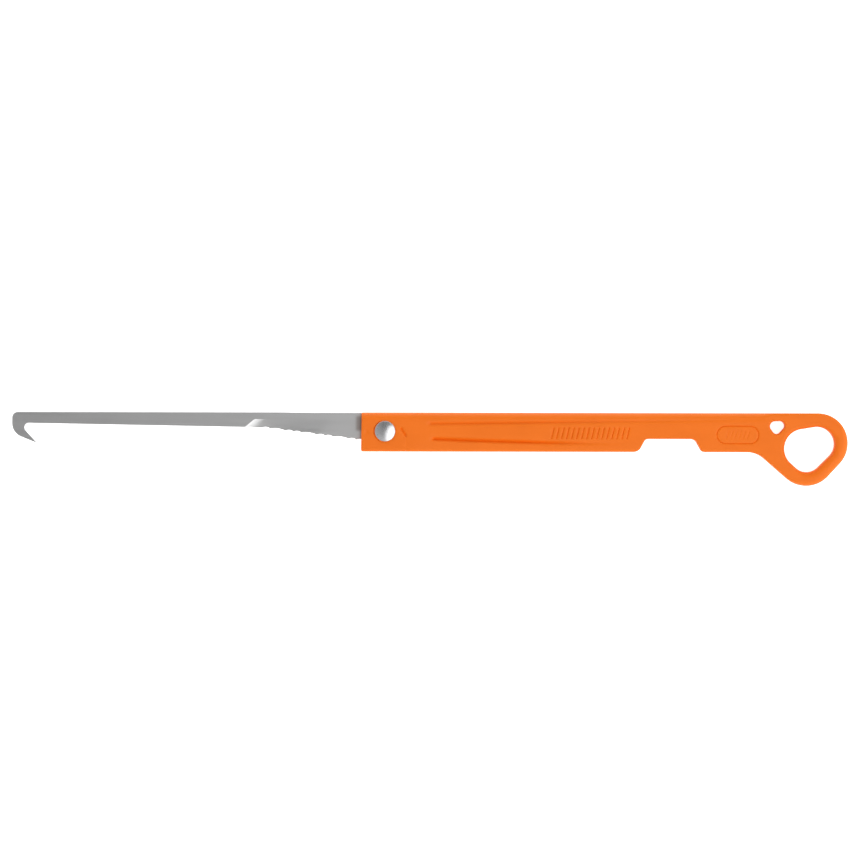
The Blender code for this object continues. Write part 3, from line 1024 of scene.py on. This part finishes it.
def make_stage():
    """Plain white table top that glows a little, as a light table does."""
    bpy.ops.mesh.primitive_circle_add(vertices=96, radius=TABLE_RADIUS, fill_type="NGON")
    floor = bpy.context.object
    floor.name = "table_top"
    material, tree, shader = material_nodes("white_table")
    shader.inputs["Base Color"].default_value = (0.8, 0.8, 0.8, 1)
    shader.inputs["Roughness"].default_value = 0.9
    shader.inputs["Specular IOR Level"].default_value = 0.0
    shader.inputs["Emission Color"].default_value = (1, 1, 1, 1)
    shader.inputs["Emission Strength"].default_value = TABLE_GLOW
    floor.data.materials.append(material)


def make_world():
    """Studio walls: white at the horizon, grey overhead, lightest on the left and near sides."""
    world = bpy.data.worlds.new("studio")
    bpy.context.scene.world = world
    world.use_nodes = True
    tree = world.node_tree
    background = tree.nodes["Background"]
    coordinates = tree.nodes.new("ShaderNodeTexCoord")
    split = tree.nodes.new("ShaderNodeSeparateXYZ")
    tree.links.new(coordinates.outputs["Generated"], split.inputs["Vector"])

    leftwards = math_node(tree, "MULTIPLY", split.outputs["X"], -0.35)
    near_side = math_node(tree, "MINIMUM", split.outputs["Y"], 0)
    near_light = math_node(tree, "MULTIPLY", math_node(tree, "POWER", near_side, 2), 0.92)
    far_side = math_node(tree, "MAXIMUM", split.outputs["Y"], 0)
    far_shade = math_node(tree, "MULTIPLY", far_side, -0.25)
    overhead = math_node(tree, "ADD", math_node(tree, "ADD", leftwards, near_light), far_shade)
    overhead = math_node(tree, "ADD", overhead, OVERHEAD_LEVEL)
    overhead = math_node(tree, "MAXIMUM", overhead, OVERHEAD_DARKEST)
    horizon = math_node(tree, "ADD", math_node(tree, "MULTIPLY", split.outputs["Y"], 0.25), 1.0)
    wall = tree.nodes.new("ShaderNodeMapRange")
    wall.interpolation_type = "SMOOTHSTEP"
    wall.inputs["From Min"].default_value = 0.78
    wall.inputs["From Max"].default_value = 0.3
    tree.links.new(split.outputs["Z"], wall.inputs["Value"])
    level = tree.nodes.new("ShaderNodeMix")
    tree.links.new(wall.outputs["Result"], level.inputs["Factor"])
    tree.links.new(overhead, level.inputs["A"])
    tree.links.new(horizon, level.inputs["B"])
    background.inputs["Color"].default_value = (1, 1, 1, 1)
    tree.links.new(level.outputs["Result"], background.inputs["Strength"])


def make_lights():
    """One large softbox overhead, to the right of the rivet and on the near side."""
    light = bpy.data.lights.new("softbox", "AREA")
    light.shape = "ELLIPSE"
    light.size, light.size_y = SOFTBOX_SIZE
    light.energy = SOFTBOX_POWER
    lamp = bpy.data.objects.new("softbox", light)
    bpy.context.scene.collection.objects.link(lamp)
    lamp.location = SOFTBOX_PLACE
    lamp.visible_camera = False


def make_camera():
    """Long lens straight above the tool."""
    camera = bpy.data.cameras.new("camera")
    camera.sensor_width = 36.0
    camera.lens = camera.sensor_width * VIEW_DISTANCE / VIEW_WIDTH
    viewer = bpy.data.objects.new("camera", camera)
    bpy.context.scene.collection.objects.link(viewer)
    viewer.location = (
        PIVOT.x + VIEW_CENTRE[0] * MM, PIVOT.y + VIEW_CENTRE[1] * MM,
        THICKNESS * MM + VIEW_DISTANCE,
    )
    viewer.rotation_euler = (0, 0, VIEW_ROLL)
    bpy.context.scene.camera = viewer


make_handle(orange_nylon())
make_blade(satin_steel())
make_rivet(polished_steel())
finish_washers(washer_bronze())
make_stage()
make_world()
make_lights()
make_camera()
bpy.context.scene.view_settings.view_transform = "Standard"

bpy.context.view_layer.update()
